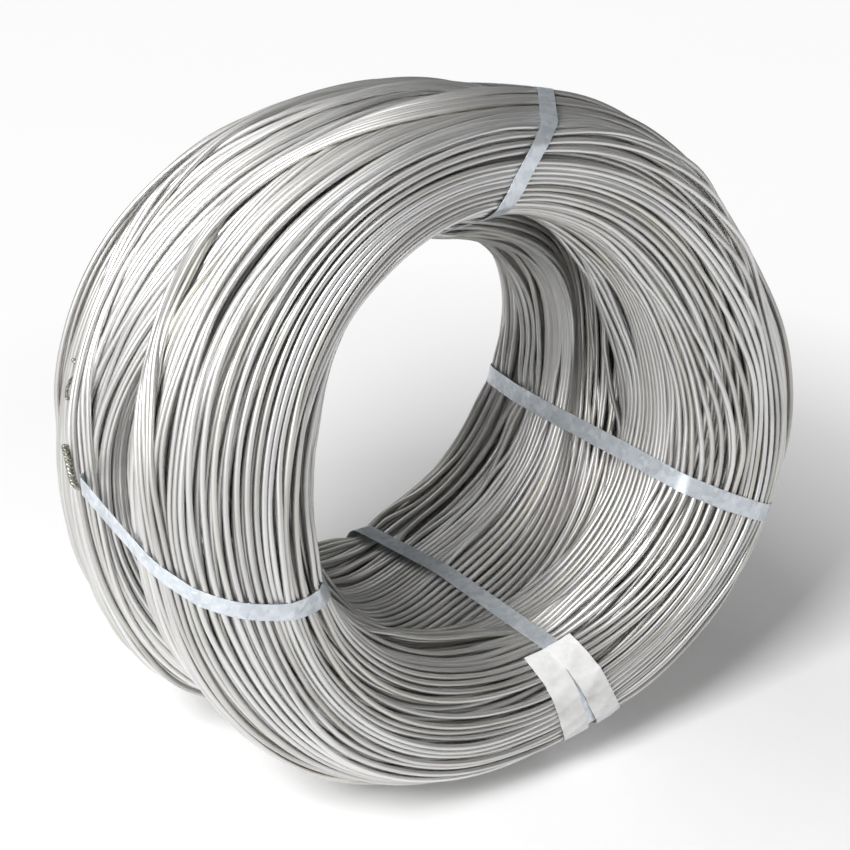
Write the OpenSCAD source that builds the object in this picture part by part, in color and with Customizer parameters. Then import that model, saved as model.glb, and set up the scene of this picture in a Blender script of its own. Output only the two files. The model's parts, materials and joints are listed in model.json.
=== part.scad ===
// Coil of steel wire rod: two bundles of turns laid end to end on one axis,
// held by four steel straps, lying on its rim. Front end towards -Y, +Z up, millimetres.

/* [Wire] */
// Diameter of the wire rod
wire_d = 6; // [5:0.5:8]
// Spacing of neighbouring turns, as a share of the wire diameter
turn_pitch_share = 0.97; // [0.9:0.01:0.98]

/* [Front bundle] */
// Outside radius of the front bundle
front_outer_r = 350; // [340:1:380]
// Bore radius of the front bundle
front_inner_r = 222; // [205:1:225]
// Length of the front bundle along the axis
front_len = 154; // [130:1:180]

/* [Rear bundle] */
// Outside radius of the rear bundle
rear_outer_r = 322; // [318:1:338]
// Bore radius of the rear bundle
rear_inner_r = 186; // [176:1:196]
// Length of the rear bundle along the axis
rear_len = 214; // [180:1:260]

/* [Shape of the bundles] */
// Rounding of each bundle's corners
corner_r = 56; // [48:1:60]
// Length over which the two rounded bundles run into each other
bundle_overlap = 28; // [20:1:40]
// Depth to which the crests of the bore's turns are pressed flat
crest_flat = 0.12; // [0.08:0.01:0.3]

/* [Straps] */
// Width of the steel strapping
strap_w = 19; // [13:1:25]
// Thickness of the steel strapping
strap_t = 0.5; // [0.4:0.05:0.6]
// Room between a strap's edges and the turns of the bore
strap_gap = 0.08; // [0.05:0.01:0.12]
// Angles of the straps around the axis, seen from the front, from the right
strap_angles = [186, 280, 341, 84];
// Angle, in degrees, over which each strap's tail runs on round its two rear bends
tail_turn = 14; // [8:1:30]

/* [Seals] */
// Length of a crimped seal along its strap
seal_len = 30; // [20:1:34]
// Thickness of the seal's sheet
seal_t = 0.9; // [0.6:0.1:1.2]
// Room between a seal and the strap ends inside it
seal_gap = 0.25; // [0.2:0.05:0.4]
// Width of each lip folded under the strap
seal_lip = 5; // [3:0.5:7]
// Length of each crimp notch along the seal
crimp_len = 5; // [3:0.5:6]
// Depth of each crimp notch into the seal's edge
crimp_depth = 2.4; // [1:0.1:3]
// Number of crimp notches on each edge
crimp_count = 2; // [1:1:3]

/* [Tape] */
// Width of a strip of white tape
tape_w = 30; // [20:1:36]
// Thickness of the tape
tape_t = 0.4; // [0.3:0.05:0.5]
// Room under each layer of tape
tape_gap = 0.5; // [0.4:0.05:0.7]
// Length of tape that runs on along the outside past the front corner
tape_run = 30; // [10:1:38]
// Angle of each strip from the strap that it covers
tape_turns = [-3.3, 3.3];

/* [Hidden] */
STRAPS = len(strap_angles);
TAPES = len(tape_turns);
TAPED_STRAP = 1;
$fn = 96;
// Sides of each turn's outline
turn_sides = 8;
// Steps along each bend of a strap or a strip of tape
bend_steps = 16;
// Part of the front inner corner, in degrees, that the tape covers
tape_lip = 40;

wire_r = wire_d / 2;
coil_len = front_len + rear_len;
front_z = coil_len / 2;
rear_z = -coil_len / 2;
joint_z = front_z - front_len;
// Share of a seal's length that lies on the flat of the rear end
seal_seat_share = 0.8;
// Rounding of the corners, limited by the bundles' walls and lengths and the seals' seat
rear_wall = rear_outer_r - rear_inner_r;
least_wall = min(front_outer_r - front_inner_r, rear_wall, front_len, rear_len);
seat_round = (rear_wall - seal_len * seal_seat_share) / 2;
round_r = min(corner_r, least_wall / 2 - wire_d, seat_round);
// Distance of a bundle's inner-end corner centre past the plane where the bundles meet
near_z = round_r - bundle_overlap / 2;
// Rounding of the line through the turns' centres
bend_r = round_r - wire_r;

// Centres of the strap's six bends, as radius and height, in order round the section. The
// bundle that stands out further, outside and in the bore, gives the bend between the ends
front_out = front_outer_r >= rear_outer_r;
rear_in = front_inner_r >= rear_inner_r;
bend_centres = [
    [rear_outer_r - round_r, rear_z + round_r],
    [max(front_outer_r, rear_outer_r) - round_r, joint_z + (front_out ? near_z : -near_z)],
    [front_outer_r - round_r, front_z - round_r],
    [front_inner_r + round_r, front_z - round_r],
    [min(front_inner_r, rear_inner_r) + round_r, joint_z + (rear_in ? -near_z : near_z)],
    [rear_inner_r + round_r, rear_z + round_r]
];
// Directions that the strap faces between its bends, from the rear end round to it again
function edge_facing(a, b) =
    let (heading = atan2(b[1] - a[1], b[0] - a[0]))
    (heading < 0 ? heading + 360 : heading) - 90;
facings = concat(
    [-90],
    [for (i = [0:4]) edge_facing(bend_centres[i], bend_centres[i + 1])],
    [270]
);
// The coil rests on both bundles, so its axis leans by the slope between them
lean = -facings[front_out ? 1 : 2];
axis_height = bend_centres[1][0] * cos(lean) - bend_centres[1][1] * sin(lean) + round_r;
axis_shift = (front_outer_r - rear_outer_r) * sin(lean) / 2;

// Height of a strap's underside over the turns: flat strapping spans the bore as a chord
strap_rise = strap_gap + rear_inner_r - sqrt(pow(rear_inner_r, 2) - pow(strap_w / 2, 2));
// The rear run of each strap stands off by its seal's folded lips
seal_room = seal_t + seal_gap;
tail_z = rear_z - seal_room - strap_rise - strap_t;
seal_r = (bend_centres[5][0] + bend_centres[0][0]) / 2;
seal_w = strap_w + 2 * (seal_gap + seal_t);
seal_slot = 2 * strap_t + 2 * seal_gap;
seal_h = seal_slot + 2 * seal_t;
seal_top_z = tail_z - strap_t - seal_gap - seal_t;
cut_over = seal_t;

function polar(r, a) = r * [cos(a), sin(a)];
function run(a, b) = norm(b - a);

// Stretches of the line through a bundle's outermost turns, all the way round its section:
// each is [centre, radius, from angle, to angle] or [point, point]
function bundle_line(outer_r, inner_r, length) =
    let (
        low = near_z,
        high = length - round_r,
        out = outer_r - round_r,
        in = inner_r + round_r - crest_flat
    )
    [
        [[out, low], bend_r, -90, 0],
        [[out + bend_r, low], [out + bend_r, high]],
        [[out, high], bend_r, 0, 90],
        [[out, high + bend_r], [in, high + bend_r]],
        [[in, high], bend_r, 90, 180],
        [[in - bend_r, high], [in - bend_r, low]],
        [[in, low], bend_r, 180, 270],
        [[in, low - bend_r], [out, low - bend_r]]
    ];
function stretch_len(s) = len(s) == 2 ? run(s[0], s[1]) : s[1] * (s[3] - s[2]) * PI / 180;
function stretch_point(s, t) =
    len(s) == 2 ? s[0] + (s[1] - s[0]) * t : s[0] + polar(s[1], s[2] + (s[3] - s[2]) * t);
function stretch_facing(s, t) = len(s) == 2 ? 0 : s[2] + (s[3] - s[2]) * t;
// Turns along each stretch as [centre, facing], evenly spaced, with the last left to the next
function stretch_turns(s) =
    let (n = max(1, ceil(stretch_len(s) / (wire_d * turn_pitch_share))))
    [for (i = [0:n - 1]) [stretch_point(s, i / n), stretch_facing(s, i / n)]];
function bundle_turns(line) = [for (s = line) each stretch_turns(s)];

// Section of one bundle: its outermost turns and what they enclose
module bundle_section(outer_r, inner_r, length) {
    turns = bundle_turns(bundle_line(outer_r, inner_r, length));
    polygon([for (t = turns) t[0]]);
    for (t = turns)
        translate(t[0])
            rotate(t[1])
                circle(d = wire_d, $fn = turn_sides);
}

// Pieces are made on an upright axis with the front end up, then laid on the rim
module lay_on_rim() {
    translate([0, axis_shift, axis_height])
        rotate([90 - lean, 0, 0])
            children();
}

// Profile of the strap or the tape: points a given height above the section's outside,
// from one facing to another
function bend_points(i, height, from, to) = [
    for (k = [0:bend_steps])
        bend_centres[i] + polar(round_r + height, from + (to - from) * k / bend_steps)
];
function rear_points(i, height, from, to) = [
    for (p = bend_points(i, height, from, to)) p - [0, seal_room]
];
function strap_loop(height) = [
    each rear_points(0, height, facings[0], facings[1]),
    for (i = [1:4]) each bend_points(i, height, facings[i], facings[i + 1]),
    each rear_points(5, height, facings[5], facings[6])
];
// The strap's overlapping end, across the rear end from bend to bend
function tail_line(height) = concat(
    rear_points(5, height, facings[6] - tail_turn, facings[6]),
    rear_points(0, height, facings[0], facings[0] + tail_turn)
);
function tape_line(height) = concat(
    [bend_centres[2] + [round_r + height, -tape_run]],
    bend_points(2, height, 0, 90),
    bend_points(3, height, 90, 90 + tape_lip)
);
function reversed(points) = [for (i = [len(points) - 1:-1:0]) points[i]];

// Stands a profile of radius and height in the plane through the axis at an angle
module at_angle(angle, width) {
    rotate(angle)
        rotate([90, 0, 0])
            linear_extrude(width, center = true)
                children();
}

module wire_coil() {
    color("silver")
        lay_on_rim()
            rotate_extrude()
                difference() {
                    union() {
                        translate([0, joint_z])
                            bundle_section(front_outer_r, front_inner_r, front_len);
                        translate([0, joint_z])
                            mirror([0, 1])
                                bundle_section(rear_outer_r, rear_inner_r, rear_len);
                    }
                    translate([0, rear_z])
                        square([rear_inner_r, rear_len]);
                }
}

// One closed loop of strapping with its tail lying over it at the rear end
module strap(i) {
    color("lightsteelblue")
        lay_on_rim()
            at_angle(strap_angles[i], strap_w) {
                difference() {
                    polygon(strap_loop(strap_rise + strap_t));
                    polygon(strap_loop(strap_rise));
                }
                polygon(concat(
                    tail_line(strap_rise + 2 * strap_t),
                    reversed(tail_line(strap_rise + strap_t / 2))
                ));
            }
}

// Crimped sleeve of sheet round the overlapping ends of a strap
module strap_seal(i) {
    color("slategray")
        lay_on_rim()
            rotate(strap_angles[i])
                translate([seal_r, 0, seal_top_z])
                    difference() {
                        translate([-seal_len / 2, -seal_w / 2, 0])
                            cube([seal_len, seal_w, seal_h]);
                        translate([-seal_len / 2 - cut_over, -seal_w / 2 + seal_t, seal_t])
                            cube([seal_len + 2 * cut_over, seal_w - 2 * seal_t, seal_slot]);
                        translate([-seal_len / 2 - cut_over, -strap_w / 2 + seal_lip, seal_h / 2])
                            cube([seal_len + 2 * cut_over, strap_w - 2 * seal_lip, seal_h]);
                        for (side = [-1, 1], k = [1:crimp_count])
                            translate([seal_len * (k / (crimp_count + 1) - 1 / 2), side * seal_w / 2, 0])
                                crimp_notch();
                    }
}

module crimp_notch() {
    translate([0, 0, -cut_over])
        linear_extrude(seal_h + 2 * cut_over)
            polygon([[-crimp_len / 2, 0], [0, -crimp_depth], [crimp_len / 2, 0], [0, crimp_depth]]);
}

// Strip of tape over the front end, each later strip lying on the one before
module tape_strip(i) {
    height = strap_rise + strap_t + tape_gap + i * (tape_t + tape_gap);
    color("white")
        lay_on_rim()
            at_angle(strap_angles[TAPED_STRAP] + tape_turns[i], tape_w)
                polygon(concat(tape_line(height + tape_t), reversed(tape_line(height))));
}

wire_coil();
for (i = [0:STRAPS - 1]) {
    strap(i);
    strap_seal(i);
}
for (i = [0:TAPES - 1])
    tape_strip(i);
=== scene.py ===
"""Looks of a coil of wire rod: two strapped bundles of bright steel turns on a pale floor."""

import json
import math

import bpy
import numpy as np
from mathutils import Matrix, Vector
from mathutils.geometry import convex_hull_2d


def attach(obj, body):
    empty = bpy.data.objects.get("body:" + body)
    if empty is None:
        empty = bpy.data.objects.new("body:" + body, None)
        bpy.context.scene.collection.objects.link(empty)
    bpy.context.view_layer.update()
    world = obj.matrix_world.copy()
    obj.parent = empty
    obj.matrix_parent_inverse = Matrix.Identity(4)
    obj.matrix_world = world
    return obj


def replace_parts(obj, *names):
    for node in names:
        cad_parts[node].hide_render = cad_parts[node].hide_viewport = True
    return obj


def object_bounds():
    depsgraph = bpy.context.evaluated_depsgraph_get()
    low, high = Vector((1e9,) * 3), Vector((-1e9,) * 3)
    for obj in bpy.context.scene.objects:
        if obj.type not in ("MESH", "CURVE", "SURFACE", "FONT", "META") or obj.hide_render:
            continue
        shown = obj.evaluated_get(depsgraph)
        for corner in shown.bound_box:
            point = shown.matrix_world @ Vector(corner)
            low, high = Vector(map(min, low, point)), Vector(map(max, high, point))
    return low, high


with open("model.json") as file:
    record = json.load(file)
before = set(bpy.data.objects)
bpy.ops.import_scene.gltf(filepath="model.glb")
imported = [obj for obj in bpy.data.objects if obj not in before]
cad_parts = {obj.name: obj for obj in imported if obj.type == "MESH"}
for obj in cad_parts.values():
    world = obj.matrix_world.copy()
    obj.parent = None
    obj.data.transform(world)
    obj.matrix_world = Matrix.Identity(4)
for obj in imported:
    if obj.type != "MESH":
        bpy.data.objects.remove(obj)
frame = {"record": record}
cad_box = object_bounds()

# Driving sizes of the coil, in metres, as the solids have them
WIRE_R = 0.003
FRONT_OUTER, FRONT_INNER, FRONT_LEN = 0.350, 0.222, 0.154
REAR_OUTER, REAR_INNER, REAR_LEN = 0.322, 0.186, 0.214
CORNER = 0.056
OVERLAP = 0.028
STRAP_W, STRAP_T = 0.019, 0.0006
PITCH = 2 * WIRE_R
FLOOR_Z = cad_box[0][2]

# Places along the coil's axis, from its middle towards the front end
FRONT_Z = (FRONT_LEN + REAR_LEN) / 2
REAR_Z = -FRONT_Z
JOINT_Z = FRONT_Z - FRONT_LEN
BORE_Z = (REAR_Z + CORNER + JOINT_Z - CORNER + OVERLAP / 2) / 2

# The coil's own frame, from its bore: the axis points to the front end
bore = frame["record"]["mounts"][0]
AXIS = np.array(bore["axis"])
CENTRE = np.array(bore["pos_m"]) - BORE_Z * AXIS
RIGHT = np.array([1.0, 0.0, 0.0])
UP = np.cross(AXIS, RIGHT)

# Where each bundle departs from the round, as middle and half width in degrees and depth in metres: its
# outside, its inside, both edges of its end at the joint and the hollow behind each edge, and last, as
# shares, how square these edges are
FRONT_WAVES = {
    "outside": (
        (230, 34, 0.007),
        (88, 30, -0.012),
        (24, 26, -0.012),
        (339, 28, 0.016),
        (287, 27, -0.013),
    ),
    "inside": ((105, 32, 0.022), (185, 36, -0.011), (300, 40, 0.006), (15, 34, -0.008)),
    "outer_edge": ((185, 38, 0.006),),
    "outer_square": ((180, 40, 0.5),),
    "inner_square": ((30, 45, 1.0),),
}
REAR_WAVES = {
    "outside": ((214, 34, 0.040), (140, 26, 0.003), (90, 34, -0.015)),
    "inside": ((20, 30, 0.018), (75, 26, -0.007), (312, 34, -0.004), (250, 20, 0.038)),
    "outer_edge": ((180, 38, -0.088),),
    "inner_edge": ((8, 46, -0.038),),
    "outer_hollow": ((180, 38, -0.060),),
    "inner_hollow": ((4, 48, -0.085),),
    "outer_square": ((185, 40, 1.0),),
    "inner_square": ((30, 45, 0.8),),
}
# Power of the curve that a squared corner follows, and how far across the wall a hollow is deepest
SQUARE = 6
HOLLOW = 0.28
# A length too small to see, against division by nothing
TINY = 1e-9

# Stations round the coil at which every turn has a point, and the grid of the height maps with the cells
# that a wire covers on it and its height over them
STATIONS = 192
PHI = np.linspace(0, math.tau, STATIONS, endpoint=False)
CELL = 0.0005
HALF_CELLS = round(WIRE_R / CELL)
REACH = np.arange(1 - HALF_CELLS, HALF_CELLS)
ARCH = np.sqrt(WIRE_R**2 - (REACH * CELL) ** 2)
CORNER_POINTS = 40
# Depth of the lowest layer's ground below the bundles' outside
BASE_DEPTH = 0.0155
# Drop between stations that a turn's own stiffness allows, and how often it is evened
SAG = 0.00012
SAG_PASSES = 80
SMOOTH_PASSES = 5

# Layers of each bundle from the inside out: sides and station step of the tubes, then how the lanes run
LAYERS = {
    "under": (4, 2, dict(
        pitch=PITCH * 1.02, group=(6, 12), group_reach=0, warp_reach=0.003, jitter=0, gap=0
    )),
    "middle": (5, 1, dict(
        pitch=PITCH * 1.03, group=(6, 14), group_reach=0.0012, warp_reach=0.004, jitter=0.0003, gap=0.002
    )),
    "outer": (7, 1, dict(
        pitch=PITCH, group=(4, 12), group_reach=0.0030, warp_reach=0.005, jitter=0.0004, gap=0.0016
    )),
}
FRONT_SEED, REAR_SEED = 11, 23
MOST_TRIANGLES = 190000
# Depth inside the other bundle at which a turn is out of sight
HIDDEN = 0.014
# Shares of a group's usual reach: most groups keep to their place and a few stray
STRAY_SHARES = (0.5, 0.8, 1.0, 1.0, 2.5)
GAP_SPREAD = (0.3, 1.7)
# Waves round the coil of a layer, a group of turns and one turn, and how they fall off
WARP_MODES = (1, 2, 3)
GROUP_MODES = (1, 2, 3, 4)
TURN_MODES = (2, 3, 5, 7)
MODE_FALL = 0.7

# Loose strands laid last: number of turns, place along the axis, then the reach, middle and half width
# of the swing that each makes along the axis
STRANDS = (
    (4, -0.095, 0.050, 100, 45),
    (4, -0.050, -0.045, 140, 40),
    (6, 0.076, -0.064, 118, 25),
    (5, 0.113, -0.080, 128, 30),
    (4, -0.104, 0.044, 215, 42),
)
STRAND_PITCH, STRAND_FAN, STRAND_JITTER = 1.03, 0.2, 0.0009
STRAND_MODES = (2, 3, 4)
STRAND_SIDES = 8
STRAND_SEED = 5

# Angles of each strap seen from the front: at the front end's outside and inside, then at the rear end's
# inside and outside, as the straps slant a little
STRAP_ROUTES = (
    (187, 203, 190, 176),
    (283, 280.5, 267, 281),
    (333, 336.5, 341.5, 339),
    (78, 98, 76, 52),
)
# Angle on either side of a strap within which turns carry it
STRAP_REACH = math.radians(3.2)
# Width round a strap over which it draws the turns together, and how far it draws them in
PINCH_WIDTH = math.radians(7)
PINCH_SHARE = 0.6
PINCH_DEPTH = 0.0015
# The strap that dips under the rear bundle's last turns, with the places and the depth of the dip
SUNK_STRAP = 1
SUNK_FRONT, SUNK_REAR, SUNK_RAMP, SUNK_DEPTH = -0.050, 0.002, 0.022, 0.012
# Points along and across a band, and round each wire under it
BAND_STEP = 0.002
BAND_SMOOTH = 3
BAND_COLUMNS = 7
RIM_POINTS = 16
SHARP_ANGLE = math.radians(40)

# Lapped tail and crimped seal of each strap, at the middle of the rear end's wall
TAIL_LEN = 0.11
SEAL_R = (REAR_OUTER + REAR_INNER) / 2
SEAL_LEN, SEAL_W, SEAL_T = 0.030, 0.0222, 0.0009
SEAL_ROWS = 41
# How sharply the seal's sides turn down, and by what share of its thickness
SEAL_TURN, SEAL_DROP = 6, 0.6
CRIMP_PLACES = (-1 / 6, 1 / 6)
CRIMP_LEN, CRIMP_DEPTH, CRIMP_DENT = 0.0032, 0.0024, 0.0005

# Ties on the rear bundle: angles and places along the axis of their ends, and their strands
TIES = {
    "tie_twist": ((174, 181), (-0.082, -0.066), 3),
    "tie_wire": ((162, 167), (-0.128, -0.086), 1),
}
TIE_R, TIE_TIP = 0.0019, 1e-5
TIE_TWISTS, TIE_SIDES = 4, 8
# Points along a tie, those that one stiff length spans and those in which an end is drawn in
TIE_POINTS, TIE_SPAN, TIE_TAPER = 90, 25, 2

# Tape over one strap: the strips' width and thickness, their run down the outside, the room under them
# and between them, and their angles from the strap at the inner lip and on the outside
TAPED_STRAP = 2
TAPE_W, TAPE_T, TAPE_RUN = 0.030, 0.0004, 0.030
TAPE_CLEAR, TAPE_APART = 0.0004, 0.0006
TAPE_TURNS = ((-4.8, -3.6), (2.0, 4.0))
TAPE_END = math.radians(152)
TAPE_REACH = math.radians(6.5)
TAPE_SEED = 40
RIBBON_W = 0.0012
# Folds of a strip: their number, then the least and most of slant, spacing and height, and their half
# width as a share of the spacing
FOLDS = 5
FOLD_SLANT, FOLD_SPACING, FOLD_HEIGHT = (-0.9, 0.9), (0.02, 0.05), (0.0002, 0.0006)
FOLD_WIDTH = 0.16

# Camera at the photograph's viewing angle, from the front, left of the coil and above it
AZIMUTH, ELEVATION = math.radians(-32.2), math.radians(30.4)
DISTANCE = 2.76
LENS, SENSOR = 115.1, 36
AIM_RIGHT, AIM_DOWN = 0.0040, 0.0180
# Large soft lamps: azimuth and elevation in degrees, size in metres and power in watts
LAMPS = {
    "left": (291, 42, 1.6, 170),
    "back": (200, 60, 2.4, 25),
}
LAMP_DISTANCE = 3.5
WORLD_LEVEL = 0.12
FLOOR_HALF = 30
# Share of plain white in the floor by distance from its middle, in metres
FLOOR_WHITE = ((0.45, 0.15), (1.0, 0.92))


def in_coil(radius, angle, z):
    """Points in the row frame from radius, angle and place along the coil's axis."""
    return CENTRE + directions(radius, angle, z)


def directions(across, angle, along):
    """Directions in the row frame from their radial and axial shares."""
    x = across * np.cos(angle)
    y = across * np.sin(angle)
    return x[..., None] * RIGHT + y[..., None] * UP + along[..., None] * AXIS


def wave(angle, waves):
    """Sum of smooth humps at an angle, from the middle, half width and depth of each."""
    total = 0 * angle
    for middle, half, depth in waves:
        off = (np.degrees(angle) - middle + 180) % 360 - 180
        total = total + depth * np.exp(-((off / half) ** 2))
    return total


def squaring(one, other):
    """How much a point of a round corner moves out to make the corner square, as a share."""
    size = np.hypot(one, other) + TINY
    reach = ((one / size) ** SQUARE + (other / size) ** SQUARE) ** (-1 / SQUARE)
    return np.where(one * other > 0, reach - 1, 0)


def behind_edge(share):
    """A hollow's course from an edge across the wall, as a share of its depth."""
    return np.clip(1 - (share / HOLLOW - 1) ** 2, 0, None)


def stiffened(heights):
    """A turn can't drop into every dip: it spans between the wires that carry it."""
    for _ in range(SAG_PASSES):
        span = (np.roll(heights, 1) + np.roll(heights, -1)) / 2
        heights = np.maximum(heights, span - SAG)
    for _ in range(SMOOTH_PASSES):
        heights = heights / 2 + (np.roll(heights, 1) + np.roll(heights, -1)) / 4
    return heights


class Ground:
    """What turns are laid on: the even points of a line, and how high each place on it is filled."""

    def __init__(self, line):
        self.line = line
        self.cells = len(line)
        self.top = np.zeros((STATIONS, self.cells))
        self.lift = 0

    def at(self, lanes, heights, angle):
        """Radius, place along the axis and facing of points on lanes at heights above the line.
        The angle counts only on ground that is uneven round the coil."""
        cell = (lanes / CELL) % self.cells
        low = np.floor(cell).astype(int) % self.cells
        radius, z, facing = np.moveaxis(self.line[low], -1, 0)
        part = (cell - np.floor(cell)) * CELL
        radius = radius - np.sin(facing) * part + np.cos(facing) * heights
        z = z + np.cos(facing) * part + np.sin(facing) * heights
        return radius, z, facing

    def lay(self, lanes):
        """Lays a closed turn on what lies there already and returns its heights."""
        cell = np.rint(lanes / CELL).astype(int)
        window = (cell[:, None] + REACH) % self.cells
        rows = np.arange(STATIONS)[:, None]
        heights = stiffened((self.top[rows, window] + ARCH).max(1))
        self.top[rows, window] = np.maximum(self.top[rows, window], heights[:, None] + ARCH)
        return heights


class Bundle(Ground):
    """One bundle of turns, on a rounded section that is a little uneven round the coil."""

    def __init__(self, outer, inner, far, joint, waves):
        self.outer = outer
        self.inner = inner
        self.far = far
        self.joint = joint
        self.waves = waves
        super().__init__(self.section_line(CORNER - BASE_DEPTH))
        self.round = self.cells * CELL

    def section_line(self, corner):
        """Evenly spaced points of the rounded section, as radius, place along the axis and facing."""
        low, high = sorted((self.far, self.joint))
        centres = (
            (self.outer - CORNER, high - CORNER),
            (self.inner + CORNER, high - CORNER),
            (self.inner + CORNER, low + CORNER),
            (self.outer - CORNER, low + CORNER),
        )
        facing = []
        points = []
        for quarter, centre in enumerate(centres):
            turn = np.linspace(quarter, quarter + 1, CORNER_POINTS) * math.pi / 2
            facing.append(turn)
            points.append(np.array(centre) + corner * np.stack([np.cos(turn), np.sin(turn)], 1))
        points.append(points[0][:1])
        facing.append(facing[0][:1] + math.tau)
        points = np.concatenate(points)
        facing = np.concatenate(facing)
        step = np.hypot(*np.diff(points, axis=0).T)
        run = np.concatenate([[0], np.cumsum(step)])
        even = np.arange(0, run[-1], CELL)
        return np.stack([np.interp(even, run, v) for v in (*points.T, facing)], 1)

    def at(self, lanes, heights, angle):
        """As on even ground, moved by the bundle's bulges and hollows."""
        radius, z, facing = super().at(lanes, heights, angle)
        beside = np.clip(1 - np.abs(z - self.joint) / CORNER, 0, None)
        radius, z = self.squared(radius, z, beside, angle)
        share = (radius - self.inner) / (self.outer - self.inner)
        z = self.drawn(share, z, beside, angle)
        radius = radius + share * self.depth("outside", angle) + (1 - share) * self.depth("inside", angle)
        return radius, z, facing

    def depth(self, place, angle):
        """How far a place on the section departs from the round at an angle."""
        return wave(angle, self.waves.get(place, ()))

    def squared(self, radius, z, beside, angle):
        """Radius and place along the axis with the corners at the joint moved out to be more square."""
        past_outer = np.clip(radius - self.outer + CORNER, 0, None) / CORNER
        past_inner = np.clip(self.inner + CORNER - radius, 0, None) / CORNER
        grow_outer = self.depth("outer_square", angle) * squaring(past_outer, beside)
        grow_inner = self.depth("inner_square", angle) * squaring(past_inner, beside)
        radius = radius + CORNER * (past_outer * grow_outer - past_inner * grow_inner)
        z = z + np.sign(self.joint - self.far) * CORNER * beside * (grow_outer + grow_inner)
        return radius, z

    def drawn(self, share, z, beside, angle):
        """Place along the axis with the edges at the joint drawn back and hollowed behind."""
        outer_edge = share**2 * self.depth("outer_edge", angle)
        inner_edge = (1 - share) ** 2 * self.depth("inner_edge", angle)
        z = z + (outer_edge + inner_edge) * (z - self.far) / (self.joint - self.far)
        outer_hollow = behind_edge(1 - share) * self.depth("outer_hollow", angle)
        inner_hollow = behind_edge(share) * self.depth("inner_hollow", angle)
        return z + (outer_hollow + inner_hollow) * beside

    def holds(self, radius, z):
        """Whether points are so deep in the section that its turns hide them."""
        low, high = sorted((self.far, self.joint))
        in_wall = (radius < self.outer - HIDDEN) & (radius > self.inner + HIDDEN)
        return in_wall & (z > low + HIDDEN) & (z < high - HIDDEN)


class Outside(Ground):
    """The outside of both bundles as they lie, for the strands that cross it."""

    def __init__(self, laid):
        z = np.arange(REAR_Z, FRONT_Z, CELL)
        super().__init__(np.stack([np.full_like(z, REAR_OUTER), z, 0 * z], 1))
        self.top -= REAR_OUTER
        for turns in laid:
            radius, z, _ = turns.at()
            row = np.broadcast_to(np.arange(STATIONS), z.shape)
            cell = np.rint((z - REAR_Z) / CELL).astype(int)
            for reach, arch in zip(REACH, ARCH):
                place = np.clip(cell + reach, 0, self.cells - 1)
                np.maximum.at(self.top, (row, place), radius + arch - REAR_OUTER)


class Turns:
    """Closed turns as they lie on a ground: their lanes, and their heights above its line."""

    def __init__(self, ground, lanes, heights):
        self.ground = ground
        self.lanes = np.array(lanes)
        self.heights = np.array(heights)

    def at(self, step=1):
        """Radius, place along the axis and facing of their points, at every so many stations."""
        heights = self.heights[:, ::step] + self.ground.lift
        return self.ground.at(self.lanes[:, ::step], heights, PHI[::step])

    def dealt(self, part, parts):
        """One part of the turns, dealt out in parts."""
        return Turns(self.ground, self.lanes[part::parts], self.heights[part::parts])


def wander(rng, reach, modes):
    """A smooth closed wave round the coil, of about that reach."""
    swing = np.zeros(STATIONS)
    for mode in modes:
        swing += rng.normal() / mode**MODE_FALL * np.cos(mode * PHI + rng.uniform(0, math.tau))
    return reach * swing


def drift(rng, round_len, reach):
    """A warp of the lanes that turns with the angle, as one layer of turns is laid."""
    modes = []
    for m in WARP_MODES:
        for j in WARP_MODES:
            modes.append((m, j, rng.normal() / m, rng.uniform(0, math.tau)))

    def warp(lane):
        swings = (a * np.cos(m * PHI + math.tau * j * lane / round_len + p) for m, j, a, p in modes)
        return reach * sum(swings)

    return warp


def layer_lanes(rng, bundle, pitch, group, group_reach, warp_reach, jitter, gap):
    """Lanes of one layer of turns, in groups that wander side by side."""
    warp = drift(rng, bundle.round, warp_reach)
    lanes = []
    place = 0.0
    while place < bundle.round - pitch:
        count = rng.integers(*group)
        shift = wander(rng, group_reach * rng.choice(STRAY_SHARES), GROUP_MODES)
        for _ in range(count):
            if place < bundle.round - pitch:
                lanes.append(place + warp(place) + shift + wander(rng, jitter, TURN_MODES))
            place += pitch
        place += gap * rng.uniform(*GAP_SPREAD)
    return lanes


def lay_layer(rng, bundle, other, lanes):
    """Lays the lanes in a mixed order and returns the turns that the other bundle doesn't hide."""
    seen = []
    for i in rng.permutation(len(lanes)):
        heights = bundle.lay(lanes[i])
        radius, z, _ = bundle.at(lanes[i], heights, PHI)
        if not other.holds(radius, z).all():
            seen.append((lanes[i], heights))
    return Turns(bundle, *zip(*seen))


def strand_lanes(rng, count, place, reach, middle, half):
    """Lanes on the outside of one strand of turns, which fans out where it doesn't swing."""
    bell = wave(PHI, ((middle, half, 1),))
    lanes = []
    for i in range(count):
        beside = (i - (count - 1) / 2) * PITCH * (STRAND_PITCH + STRAND_FAN * (1 - bell))
        lanes.append(place - REAR_Z + reach * bell + beside + wander(rng, STRAND_JITTER, STRAND_MODES))
    return lanes


def route_angle(route, radius, z):
    """Angle of a strap where it lies at a radius and a place along the axis."""
    out = (radius - REAR_INNER) / (FRONT_OUTER - REAR_INNER)
    fore = (z - REAR_Z) / (FRONT_Z - REAR_Z)
    front_out, front_in, rear_in, rear_out = np.radians(route)
    at_front = front_out * out + front_in * (1 - out)
    at_rear = rear_out * out + rear_in * (1 - out)
    return at_front * fore + at_rear * (1 - fore)


def apart(angle, other):
    """Size of the turn between two angles."""
    return np.abs((angle - other + math.pi) % math.tau - math.pi)


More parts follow.
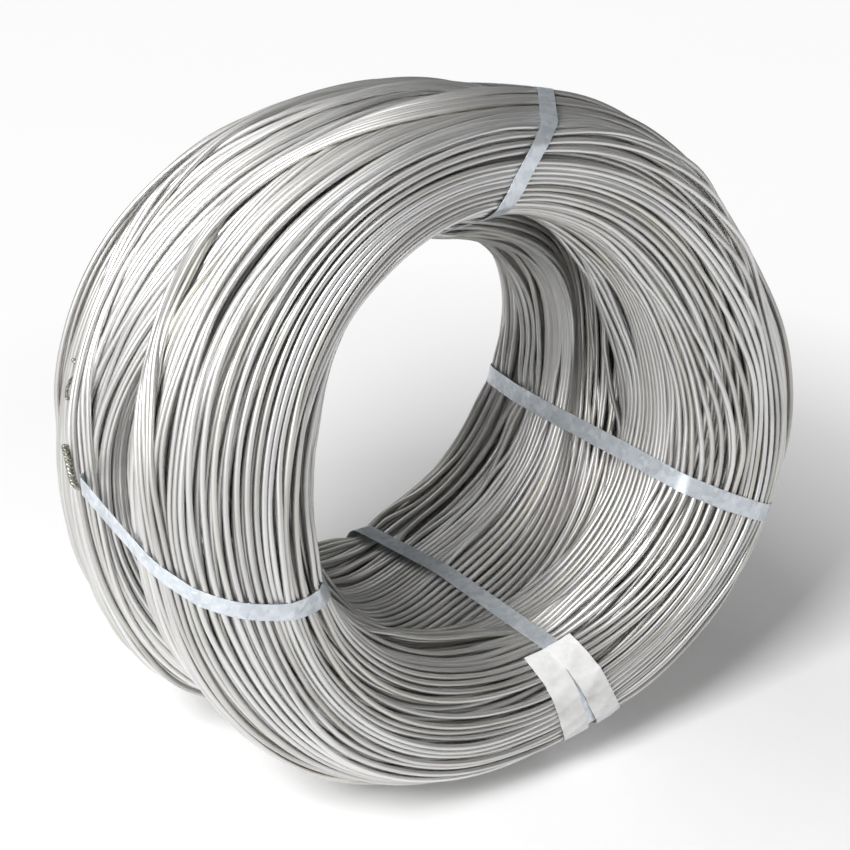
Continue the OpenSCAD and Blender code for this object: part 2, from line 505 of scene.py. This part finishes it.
def pinched(turns):
    """Turns pressed to an even height near the straps."""
    radius, z, _ = turns.at()
    off = np.min([apart(PHI, route_angle(route, radius, z)) for route in STRAP_ROUTES], axis=0)
    near = np.exp(-((off / PINCH_WIDTH) ** 2))
    sink = PINCH_SHARE * (turns.heights - turns.heights.mean()) + PINCH_DEPTH
    return Turns(turns.ground, turns.lanes, turns.heights - near * sink)


def new_mesh(name, verts, faces):
    """A smooth mesh object of quads from arrays."""
    mesh = bpy.data.meshes.new(name)
    mesh.vertices.add(len(verts))
    mesh.vertices.foreach_set("co", verts.astype(np.float32).ravel())
    mesh.loops.add(faces.size)
    mesh.loops.foreach_set("vertex_index", faces.astype(np.int32).ravel())
    mesh.polygons.add(len(faces))
    mesh.polygons.foreach_set("loop_start", np.arange(0, faces.size, 4, dtype=np.int32))
    mesh.polygons.foreach_set("use_smooth", np.ones(len(faces), dtype=bool))
    mesh.update(calc_edges=True)
    mesh.validate()
    obj = bpy.data.objects.new(name, mesh)
    bpy.context.scene.collection.objects.link(obj)
    return obj


def set_attribute(obj, name, values):
    """Gives each point of a mesh its own number or vector."""
    kind, key = ("FLOAT", "value") if values.ndim == 1 else ("FLOAT_VECTOR", "vector")
    made = obj.data.attributes.new(name, kind, "POINT")
    made.data.foreach_set(key, values.astype(np.float32).ravel())


def joined(*parts):
    """Several meshes' arrays as one."""
    verts, faces, count = [], [], 0
    for part_verts, part_faces in parts:
        verts.append(part_verts)
        faces.append(part_faces + count)
        count += len(part_verts)
    return np.concatenate(verts), np.concatenate(faces)


def rings(centres, normals, tangent, radius, sides):
    """Points of a ring round each centre, square to the tangent there."""
    across = np.cross(tangent, normals)
    across /= np.linalg.norm(across, axis=-1, keepdims=True)
    turn = math.tau * np.arange(sides) / sides
    ring = np.cos(turn)[:, None] * normals[..., None, :] + np.sin(turn)[:, None] * across[..., None, :]
    return centres[..., None, :] + radius * ring


def tube_arrays(centres, normals, sides):
    """Vertices and faces of closed tubes of wire round lines of points."""
    tangent = np.roll(centres, -1, 1) - np.roll(centres, 1, 1)
    verts = rings(centres, normals, tangent, WIRE_R, sides)
    index = np.arange(verts.size // 3).reshape(verts.shape[:3])
    ahead = np.roll(index, -1, 1)
    faces = np.stack([index, np.roll(index, -1, 2), np.roll(ahead, -1, 2), ahead], 3)
    return verts.reshape(-1, 3), faces.reshape(-1, 4)


def rod_arrays(centres, normals, radius, sides):
    """Vertices and faces of one rod along points, with a radius at each."""
    verts = rings(centres, normals, np.gradient(centres, axis=0), radius[:, None, None], sides)
    index = np.arange(verts.size // 3).reshape(verts.shape[:2])
    beside = np.roll(index, -1, 1)
    faces = np.stack([index[:-1], beside[:-1], beside[1:], index[1:]], 2)
    return verts.reshape(-1, 3), faces.reshape(-1, 4)


def band_arrays(line, facing, angle, width, low, high, closed):
    """Vertices and faces of a flat band that follows a line, bent to the turns under it.
    Width is one number or one for every point, and low and high may also differ by column."""
    share = np.linspace(-0.5, 0.5, BAND_COLUMNS)
    grid = np.ones((len(line), BAND_COLUMNS))
    across = grid * share * np.reshape(width, (-1, 1))
    shift = np.concatenate([across, across[:, ::-1]], 1)
    lift = np.concatenate([grid * high, (grid * low)[:, ::-1]], 1)
    radius = line[:, :1] + np.cos(facing)[:, None] * lift
    z = line[:, 1:] + np.sin(facing)[:, None] * lift
    verts = in_coil(radius, np.reshape(angle, (-1, 1)) + shift / line[:, :1], z)
    verts[..., 2] = np.maximum(verts[..., 2], FLOOR_Z + np.max(lift, 1, keepdims=True) - lift)
    index = np.arange(lift.size).reshape(lift.shape)
    beside = np.roll(index, -1, 1)
    faces = np.stack([index, beside, np.roll(beside, -1, 0), np.roll(index, -1, 0)], 2)
    if closed:
        return verts.reshape(-1, 3), faces.reshape(-1, 4)
    faces = [faces[:-1].reshape(-1, 4)]
    for row, order in ((0, 1), (-1, -1)):
        top, under = index[row, :BAND_COLUMNS], index[row, :BAND_COLUMNS - 1:-1]
        cap = np.stack([top[:-1], under[:-1], under[1:], top[1:]], 1)
        faces.append(cap[:, ::order])
    return verts.reshape(-1, 3), np.concatenate(faces)


def finish_piece(obj, slot, node):
    """Gives a piece the material of its slot, and hides the solid that it stands for."""
    obj.data.set_sharp_from_angle(angle=SHARP_ANGLE)
    obj.data.materials.append(MATERIALS[slot])
    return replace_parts(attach(obj, "root"), node)


def turns_piece(rng, name, turns, sides, step=1):
    """One piece of the coil: closed turns as tubes, with each turn's own tone and grain."""
    angle = PHI[::step]
    radius, z, facing = turns.at(step)
    centres = in_coil(radius, angle, z)
    centres[..., 2] = np.maximum(centres[..., 2], FLOOR_Z + STRAP_T + WIRE_R)
    normals = directions(np.cos(facing), angle, np.sin(facing))
    obj = new_mesh(name, *tube_arrays(centres, normals, sides))
    count = len(radius)
    set_attribute(obj, "tone", np.repeat(rng.random(count), len(angle) * sides))
    grain = np.stack(np.broadcast_arrays(np.cos(angle), np.sin(angle), np.arange(count)[:, None]), 2)
    set_attribute(obj, "grain", np.repeat(grain.reshape(-1, 3), sides, 0))
    obj.data.materials.append(MATERIALS["wire"])
    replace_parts(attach(obj, "root"), "wire_coil")


def wind(name, bundle, other, seed):
    """Winds one bundle, makes its pieces and returns the turns of its two upper layers."""
    rng = np.random.default_rng(seed)
    layers = []
    for layer, (sides, step, ways) in LAYERS.items():
        turns = lay_layer(rng, bundle, other, layer_lanes(rng, bundle, **ways))
        layers.append((layer, pinched(turns), sides, step))
    bundle.lift = BASE_DEPTH - bundle.top.mean()
    for layer, turns, sides, step in layers:
        parts = math.ceil(len(turns.lanes) * STATIONS // step * sides * 2 / MOST_TRIANGLES)
        for part in range(parts):
            mark = f"_{part + 1}" if parts > 1 else ""
            turns_piece(rng, f"{name}_{layer}_turns{mark}", turns.dealt(part, parts), sides, step)
    return [layers[-1][1], layers[-2][1]]


def lay_strands(outside):
    """Lays the loose strands over both bundles, makes their piece and returns their turns."""
    rng = np.random.default_rng(STRAND_SEED)
    lanes = [lane for strand in STRANDS for lane in strand_lanes(rng, *strand)]
    turns = Turns(outside, lanes, [outside.lay(lane) for lane in lanes])
    turns_piece(rng, "loose_turns", turns, STRAND_SIDES)
    return turns


def turns_near(laid, route, half):
    """Radius and place along the axis of the points of turns within an angle of a route."""
    found = []
    for turns in laid:
        radius, z, _ = turns.at()
        near = apart(PHI, route_angle(route, radius, z)) < half
        found.append(np.stack([radius[near], z[near]], 1))
    return np.concatenate(found)


def taut_line(laid, route, half, rise):
    """Closed line of a taut band round both bundles: the hull of the wires there, and its facing."""
    turn = np.linspace(0, math.tau, RIM_POINTS, endpoint=False)
    rim = (WIRE_R + rise) * np.stack([np.cos(turn), np.sin(turn)], 1)
    points = (turns_near(laid, route, half)[:, None] + rim).reshape(-1, 2)
    hull = points[convex_hull_2d([Vector(p) for p in points])]
    shoelace = hull[:, 0] * np.roll(hull[:, 1], -1) - hull[:, 1] * np.roll(hull[:, 0], -1)
    if shoelace.sum() < 0:
        hull = hull[::-1]
    hull = np.roll(hull, -np.argmin(hull[:, 1]), 0)
    loop = np.concatenate([hull, hull[:1]])
    run = np.concatenate([[0], np.cumsum(np.hypot(*np.diff(loop, axis=0).T))])
    even = np.linspace(0, run[-1], round(run[-1] / BAND_STEP), endpoint=False)
    line = np.stack([np.interp(even, run, v) for v in loop.T], 1)
    for _ in range(BAND_SMOOTH):
        line = line / 2 + (np.roll(line, 1, 0) + np.roll(line, -1, 0)) / 4
    ahead = np.roll(line, -1, 0) - np.roll(line, 1, 0)
    return line, np.arctan2(-ahead[:, 0], ahead[:, 1])


def rear_run(line, length):
    """Places of the points on the rear end within a length about the middle of its wall, in order."""
    places = np.flatnonzero((np.abs(line[:, 0] - SEAL_R) < length / 2) & (line[:, 1] < BORE_Z))
    jump = np.flatnonzero(np.diff(places) > 1)
    return np.roll(places, -(jump[0] + 1)) if len(jump) else places


def sunk(line):
    """A strap's line that dips under the rear bundle's last turns on the outside."""
    from_front = (SUNK_FRONT - line[:, 1]) / SUNK_RAMP
    from_rear = (line[:, 1] - REAR_Z - SUNK_REAR) / SUNK_RAMP
    share = np.clip(np.minimum(from_front, from_rear), 0, 1) * (line[:, 0] > SEAL_R)
    return line - np.stack([SUNK_DEPTH * share**2 * (3 - 2 * share), 0 * share], 1)


def seal_arrays(line, facing, angle):
    """A crimped sleeve of sheet round the lapped ends of a strap, notched on both edges."""
    place = np.linspace(-SEAL_LEN / 2, SEAL_LEN / 2, SEAL_ROWS)
    run = np.linspace(0, 1, len(line))
    rows = np.linspace(0, 1, SEAL_ROWS)
    line = np.stack([np.interp(rows, run, v) for v in line.T], 1)
    facing = np.interp(rows, run, np.unwrap(facing))
    angle = np.interp(rows, run, angle)
    crimp = sum(np.exp(-(((place - SEAL_LEN * c) / CRIMP_LEN) ** 2)) for c in CRIMP_PLACES)
    edge = np.abs(np.linspace(-1, 1, BAND_COLUMNS)) ** SEAL_TURN
    high = 2 * STRAP_T + SEAL_T * (1 - SEAL_DROP * edge) - CRIMP_DENT * crimp[:, None]
    return band_arrays(line, facing, angle, SEAL_W - 2 * CRIMP_DEPTH * crimp, -SEAL_T / 2, high, False)


def strap_piece(number, laid):
    """A strap drawn tight round the bundles, with its tail lapped over it at the rear end, and its seal."""
    route = STRAP_ROUTES[number - 1]
    line, facing = taut_line(laid, route, STRAP_REACH, 0)
    if number == SUNK_STRAP:
        line = sunk(line)
    angle = route_angle(route, *line.T)
    band = band_arrays(line, facing, angle, STRAP_W, 0, STRAP_T, True)
    run = rear_run(line, TAIL_LEN)
    tail = band_arrays(line[run], facing[run], angle[run], STRAP_W, STRAP_T, 2 * STRAP_T, False)
    finish_piece(new_mesh(f"strap_band_{number}", *joined(band, tail)), "strap", f"strap_{number}")
    run = rear_run(line, SEAL_LEN)
    seal = seal_arrays(line[run], facing[run], angle[run])
    finish_piece(new_mesh(f"crimped_seal_{number}", *seal), "seal", f"strap_seal_{number}")


def crests(outside, angle, z):
    """Heights at which a stiff rod lies on the outside along points."""
    station = np.rint(angle / math.tau * STATIONS).astype(int) % STATIONS
    cell = np.rint((z - REAR_Z) / CELL).astype(int)
    top = np.pad(outside.top[station, cell], TIE_SPAN // 2, "edge")
    crest = np.lib.stride_tricks.sliding_window_view(top, TIE_SPAN).max(1)
    crest = np.pad(crest, TIE_SPAN // 2, "edge")
    return np.convolve(crest, np.full(TIE_SPAN, 1 / TIE_SPAN), "valid")


def tie_piece(name, outside, angles, places, strands):
    """A short piece of soft tie wire on the rear bundle, of one strand or a twist of several."""
    run = np.linspace(0, 1, TIE_POINTS)
    angle = np.radians(np.interp(run, (0, 1), angles))
    z = np.interp(run, (0, 1), places)
    ground = crests(outside, angle, z)
    taper = np.minimum(np.minimum(run, 1 - run) * TIE_POINTS / TIE_TAPER, 1) * TIE_R + TIE_TIP
    sway = TIE_R * min(strands - 1, 1)
    rods = []
    for strand in range(strands):
        twist = math.tau * (TIE_TWISTS * run + strand / strands)
        radius = REAR_OUTER + ground + TIE_R + sway + sway * np.cos(twist)
        centres = in_coil(radius, angle, z + sway * np.sin(twist))
        rods.append(rod_arrays(centres, directions(1 + 0 * run, angle, 0 * run), taper, TIE_SIDES))
    obj = new_mesh(name, *joined(*rods))
    obj.data.materials.append(MATERIALS["tie"])
    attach(obj, "root")


def creases(along, across, rng):
    """Heights of a few sharp folds that cross a strip at random slants."""
    height = 0
    for _ in range(FOLDS):
        slant = rng.uniform(*FOLD_SLANT)
        place = (along + slant * across) / rng.uniform(*FOLD_SPACING) + rng.uniform(0, 1)
        fold = np.abs(place % 1 - 0.5)
        height = height + rng.uniform(*FOLD_HEIGHT) * np.clip(1 - fold / FOLD_WIDTH, 0, 1)
    return height


def tape_piece(number, laid):
    """A strip of woven tape laid tight over a strap on the front end, a little creased."""
    rng = np.random.default_rng(TAPE_SEED + number)
    inner_turn, outer_turn = TAPE_TURNS[number - 1]
    under = (number - 1) * (TAPE_T + TAPE_APART)
    route = STRAP_ROUTES[TAPED_STRAP - 1]
    line, facing = taut_line(laid, route, TAPE_REACH, STRAP_T + TAPE_CLEAR)
    facing = np.unwrap(facing)
    start = np.flatnonzero((line[:, 1] > FRONT_Z - CORNER - TAPE_RUN) & (line[:, 0] > SEAL_R))[0]
    end = np.flatnonzero(facing < TAPE_END)[-1]
    line, facing = line[start:end], facing[start:end]
    along = np.arange(len(line)) * BAND_STEP
    turn = np.radians(np.interp(along, (0, along[-1]), (outer_turn, inner_turn)))
    across = np.linspace(-0.5, 0.5, BAND_COLUMNS) * TAPE_W
    low = under + creases(along[:, None], across, rng)
    angle = route_angle(route, *line.T) + turn
    strip = band_arrays(line, facing, angle, TAPE_W, low, low + TAPE_T, False)
    obj = finish_piece(new_mesh(f"tape_band_{number}", *strip), "tape", f"tape_strip_{number}")
    both = np.concatenate([across, across[::-1]])
    set_attribute(obj, "weave", np.stack(np.broadcast_arrays(along[:, None], both, 0), 2))


class Shader:
    """A new material with short ways to add shader nodes to it."""

    def __init__(self, name, **settings):
        self.material = bpy.data.materials.new(name)
        self.material.use_nodes = True
        self.nodes = self.material.node_tree.nodes
        self.bsdf = self.nodes["Principled BSDF"]
        for key, value in settings.items():
            self.bsdf.inputs[key].default_value = value

    def link(self, source, target):
        """Joins an output to an input."""
        self.material.node_tree.links.new(source, target)

    def feed(self, name, source):
        """Joins an output to an input of the surface."""
        self.link(source, self.bsdf.inputs[name])

    def attribute(self, name, output):
        """Output of a mesh attribute."""
        made = self.nodes.new("ShaderNodeAttribute")
        made.attribute_name = name
        return made.outputs[output]

    def place(self):
        """Places on the object, in metres."""
        return self.nodes.new("ShaderNodeTexCoord").outputs["Object"]

    def stretched(self, vector, scale):
        """A vector drawn out by a scale for each axis."""
        made = self.nodes.new("ShaderNodeMapping")
        made.inputs["Scale"].default_value = scale
        self.link(vector, made.inputs["Vector"])
        return made.outputs["Vector"]

    def noise(self, vector, scale, detail=2.0, roughness=0.5):
        """Smooth noise over a vector."""
        made = self.nodes.new("ShaderNodeTexNoise")
        made.inputs["Scale"].default_value = scale
        made.inputs["Detail"].default_value = detail
        made.inputs["Roughness"].default_value = roughness
        self.link(vector, made.inputs["Vector"])
        return made.outputs["Fac"]

    def cells(self, vector, scale):
        """One random grey for each cell of a crystal pattern."""
        made = self.nodes.new("ShaderNodeTexVoronoi")
        made.inputs["Scale"].default_value = scale
        self.link(vector, made.inputs["Vector"])
        split = self.nodes.new("ShaderNodeSeparateColor")
        self.link(made.outputs["Color"], split.inputs["Color"])
        return split.outputs["Red"]

    def checks(self, vector, size):
        """A grey of 0 or 1 in squares of a size."""
        made = self.nodes.new("ShaderNodeTexChecker")
        made.inputs["Scale"].default_value = 1 / size
        self.link(vector, made.inputs["Vector"])
        return made.outputs["Fac"]

    def ramp(self, source, *stops):
        """Colours, or greys, from pairs of place and colour."""
        made = self.nodes.new("ShaderNodeValToRGB")
        elements = made.color_ramp.elements
        while len(elements) < len(stops):
            elements.new(0.5)
        for element, (place, colour) in zip(elements, stops):
            element.position = place
            element.color = (*colour, 1) if isinstance(colour, tuple) else (colour, colour, colour, 1)
        self.link(source, made.inputs["Fac"])
        return made.outputs["Color"]

    def times(self, one, other):
        """Product of two colours."""
        made = self.nodes.new("ShaderNodeMix")
        made.data_type = "RGBA"
        made.blend_type = "MULTIPLY"
        made.inputs["Factor"].default_value = 1.0
        self.link(one, made.inputs["A"])
        self.link(other, made.inputs["B"])
        return made.outputs["Result"]

    def add(self, one, other):
        """Sum of two numbers, at most 1."""
        made = self.nodes.new("ShaderNodeMath")
        made.use_clamp = True
        self.link(one, made.inputs[0])
        self.link(other, made.inputs[1])
        return made.outputs["Value"]

    def length(self, vector):
        """Length of a vector."""
        made = self.nodes.new("ShaderNodeVectorMath")
        made.operation = "LENGTH"
        self.link(vector, made.inputs[0])
        return made.outputs["Value"]

    def bump(self, height, distance, strength):
        """Relief from a grey, in metres."""
        made = self.nodes.new("ShaderNodeBump")
        made.inputs["Strength"].default_value = strength
        made.inputs["Distance"].default_value = distance
        self.link(height, made.inputs["Height"])
        self.feed("Normal", made.outputs["Normal"])


def wire_material():
    """Drawn steel: satin, each turn a little lighter or darker, with dull and faintly tinted stretches."""
    shader = Shader("drawn_steel_wire", Metallic=1.0)
    tone = shader.ramp(
        shader.attribute("tone", "Fac"),
        (0, (0.66, 0.65, 0.63)),
        (0.5, (0.78, 0.775, 0.765)),
        (1, (0.87, 0.87, 0.865)),
    )
    along = shader.attribute("grain", "Vector")
    stretch = shader.noise(shader.stretched(along, (2.4, 2.4, 7.3)), scale=1.0, detail=3.0, roughness=0.6)
    tint = shader.ramp(
        shader.noise(shader.stretched(along, (1.1, 1.1, 5.1)), scale=1.0),
        (0.30, (0.95, 0.94, 0.88)),
        (0.45, (1.0, 1.0, 1.0)),
        (0.58, (1.0, 1.0, 1.0)),
        (0.72, (0.93, 0.91, 0.93)),
    )
    dull = shader.ramp(stretch, (0.30, 0.84), (0.5, 0.97), (0.7, 1.0))
    shader.feed("Base Color", shader.times(shader.times(tone, tint), dull))
    shader.feed("Roughness", shader.ramp(stretch, (0.3, 0.60), (0.7, 0.44)))
    shader.bump(shader.noise(shader.place(), scale=900), distance=0.0002, strength=0.15)
    return shader.material


def tie_material():
    """Soft tie wire: dark annealed skin with paler rubbed spots."""
    shader = Shader("annealed_tie_wire", Metallic=1.0)
    rubbed = shader.noise(shader.place(), scale=420, detail=3.0, roughness=0.6)
    skin = shader.ramp(
        rubbed,
        (0.35, (0.10, 0.10, 0.08)),
        (0.5, (0.30, 0.29, 0.25)),
        (0.65, (0.62, 0.61, 0.55)),
    )
    shader.feed("Base Color", skin)
    shader.feed("Roughness", shader.ramp(rubbed, (0.3, 0.7), (0.7, 0.45)))
    return shader.material


def strap_material():
    """Galvanised strapping: pale blue-grey zinc with a spangle and a few dull smears."""
    shader = Shader("galvanised_strap", Metallic=0.65)
    place = shader.place()
    zinc = shader.ramp(
        shader.cells(place, scale=170),
        (0, (0.60, 0.65, 0.70)),
        (0.5, (0.68, 0.73, 0.78)),
        (1, (0.78, 0.82, 0.86)),
    )
    smear = shader.noise(place, scale=26, detail=4.0, roughness=0.65)
    dull = shader.ramp(smear, (0.32, 0.80), (0.55, 1.0))
    shader.feed("Base Color", shader.times(zinc, dull))
    shader.feed("Roughness", shader.ramp(smear, (0.3, 0.52), (0.7, 0.34)))
    shader.bump(shader.noise(place, scale=140, detail=3.0), distance=0.0006, strength=0.2)
    return shader.material


def seal_material():
    """Zinc-plated sheet, darker and more worn than the strap, with scuffs from the crimping."""
    shader = Shader("crimped_seal", Metallic=1.0)
    place = shader.stretched(shader.place(), (1.0, 1.0, 3.0))
    scuff = shader.noise(place, scale=240, detail=5.0, roughness=0.7)
    plate = shader.ramp(
        scuff,
        (0.3, (0.30, 0.32, 0.34)),
        (0.55, (0.46, 0.48, 0.50)),
        (0.8, (0.62, 0.64, 0.66)),
    )
    shader.feed("Base Color", plate)
    shader.feed("Roughness", shader.ramp(scuff, (0.3, 0.55), (0.7, 0.34)))
    shader.bump(scuff, distance=0.0003, strength=0.3)
    return shader.material


def tape_material():
    """White woven plastic: flat ribbons over and under each other, a little soiled and see-through."""
    shader = Shader("white_woven_tape", **{"Specular IOR Level": 0.55, "Transmission Weight": 0.06})
    weave = shader.attribute("weave", "Vector")
    checks = shader.checks(weave, RIBBON_W)
    ribbons = shader.ramp(checks, (0, (0.84, 0.84, 0.83)), (1, (0.90, 0.90, 0.90)))
    soil = shader.ramp(
        shader.noise(weave, scale=38, detail=4.0, roughness=0.6),
        (0.28, (0.82, 0.81, 0.79)),
        (0.55, (1.0, 1.0, 1.0)),
    )
    shader.feed("Base Color", shader.times(ribbons, soil))
    shader.feed("Roughness", shader.ramp(shader.noise(weave, scale=90), (0.3, 0.30), (0.7, 0.52)))
    shader.bump(checks, distance=0.0002, strength=0.35)
    return shader.material


def floor_material():
    """Plain pale floor, which is white to the eye away from the coil's shadow."""
    shader = Shader("pale_floor", Roughness=0.9)
    place = shader.place()
    worn = shader.noise(place, scale=3, detail=4.0)
    shader.feed("Base Color", shader.ramp(worn, (0.3, 0.90), (0.7, 0.93)))
    white = shader.nodes.new("ShaderNodeEmission")
    share = shader.ramp(shader.length(place), *FLOOR_WHITE)
    path = shader.nodes.new("ShaderNodeLightPath").outputs
    seen = shader.add(shader.add(path["Is Camera Ray"], path["Is Glossy Ray"]), path["Is Transmission Ray"])
    mix = shader.nodes.new("ShaderNodeMixShader")
    shader.link(shader.times(share, seen), mix.inputs["Fac"])
    shader.link(shader.bsdf.outputs["BSDF"], mix.inputs[1])
    shader.link(white.outputs["Emission"], mix.inputs[2])
    shader.link(mix.outputs["Shader"], shader.nodes["Material Output"].inputs["Surface"])
    return shader.material


def make_floor():
    """The floor that the coil lies on."""
    corners = np.array([[-1, -1, 0], [1, -1, 0], [1, 1, 0], [-1, 1, 0]]) * FLOOR_HALF
    floor = new_mesh("floor", corners + np.array([0, 0, FLOOR_Z]), np.array([[0, 1, 2, 3]]))
    floor.data.materials.append(floor_material())


def looking_back(azimuth, elevation):
    """Direction from the coil towards a place round it and above it."""
    level = math.cos(elevation)
    return Vector((math.sin(azimuth) * level, -math.cos(azimuth) * level, math.sin(elevation)))


def make_camera():
    """The camera, aimed a little off the coil's middle, as the photograph is framed."""
    back = looking_back(AZIMUTH, ELEVATION)
    right = Vector((math.cos(AZIMUTH), math.sin(AZIMUTH), 0))
    up = back.cross(right)
    data = bpy.data.cameras.new("camera")
    data.lens = LENS
    data.sensor_width = SENSOR
    obj = bpy.data.objects.new("camera", data)
    obj.location = Vector(CENTRE) + back * DISTANCE + right * AIM_RIGHT - up * AIM_DOWN
    obj.rotation_euler = back.to_track_quat("Z", "Y").to_euler()
    bpy.context.scene.collection.objects.link(obj)
    bpy.context.scene.camera = obj


def make_light():
    """Large soft lamps, mostly on the left, and a little light from all round."""
    world = bpy.data.worlds.new("studio")
    bpy.context.scene.world = world
    world.use_nodes = True
    background = world.node_tree.nodes["Background"].inputs
    background["Color"].default_value = (1, 1, 1, 1)
    background["Strength"].default_value = WORLD_LEVEL
    for name, (azimuth, elevation, size, power) in LAMPS.items():
        lamp = bpy.data.lights.new(name, "AREA")
        lamp.size = size
        lamp.energy = power
        obj = bpy.data.objects.new(name, lamp)
        away = looking_back(math.radians(azimuth), math.radians(elevation))
        obj.location = Vector(CENTRE) + LAMP_DISTANCE * away
        obj.rotation_euler = away.to_track_quat("Z", "Y").to_euler()
        obj.visible_camera = False
        bpy.context.scene.collection.objects.link(obj)


MATERIALS = {
    "wire": wire_material(),
    "tie": tie_material(),
    "strap": strap_material(),
    "seal": seal_material(),
    "tape": tape_material(),
}

front = Bundle(FRONT_OUTER, FRONT_INNER, FRONT_Z, JOINT_Z - OVERLAP / 2, FRONT_WAVES)
rear = Bundle(REAR_OUTER, REAR_INNER, REAR_Z, JOINT_Z + OVERLAP / 2, REAR_WAVES)
all_laid = wind("front", front, rear, FRONT_SEED) + wind("rear", rear, front, REAR_SEED)
coil_outside = Outside(all_laid)
all_laid.append(lay_strands(coil_outside))

for strap_number in range(1, len(STRAP_ROUTES) + 1):
    strap_piece(strap_number, all_laid)
for tie_name, tie in TIES.items():
    tie_piece(tie_name, coil_outside, *tie)
for strip_number in range(1, len(TAPE_TURNS) + 1):
    tape_piece(strip_number, all_laid)

make_camera()
make_floor()
make_light()
bpy.context.scene.view_settings.view_transform = "Standard"
